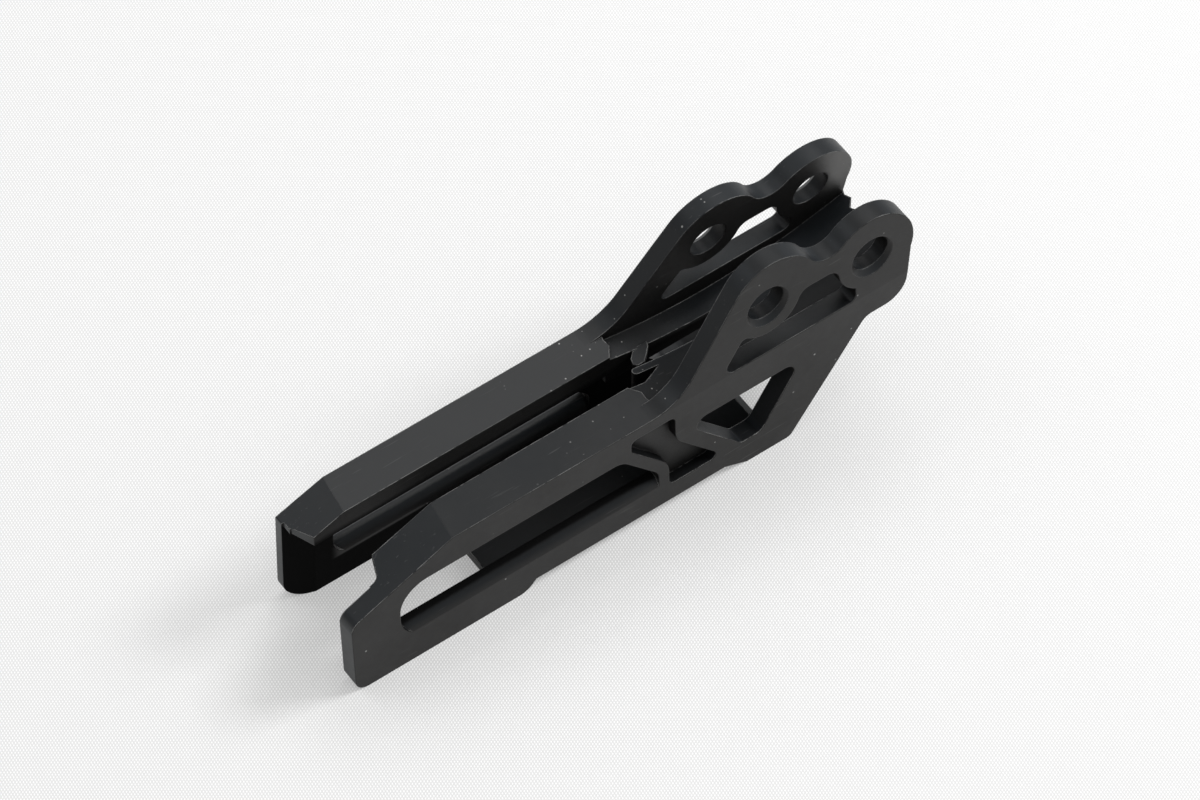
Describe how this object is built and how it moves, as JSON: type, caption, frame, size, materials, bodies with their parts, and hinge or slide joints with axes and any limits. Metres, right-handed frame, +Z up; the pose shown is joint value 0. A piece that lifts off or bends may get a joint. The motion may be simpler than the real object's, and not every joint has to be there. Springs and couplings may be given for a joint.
{
  "type": "motorcycle chain guide",
  "caption": "One-piece moulded chain guide: an open channel of slotted side plates with inward flanges and a clevis of bolt ears.",
  "frame": {"origin": "middle of the footprint, on the plane that the sole and the heel rest on", "axes": "+X along the channel from its open front end to the bolt ears, +Y across towards the far plate along the bolt bores, +Z up"},
  "size_m": [0.1745, 0.0366, 0.0726],
  "materials": {
    "black_nylon": "satin moulded, lightly scuffed"
  },
  "bodies": {
    "root": {"chain_guide": "black_nylon"}
  },
  "joints": []
}
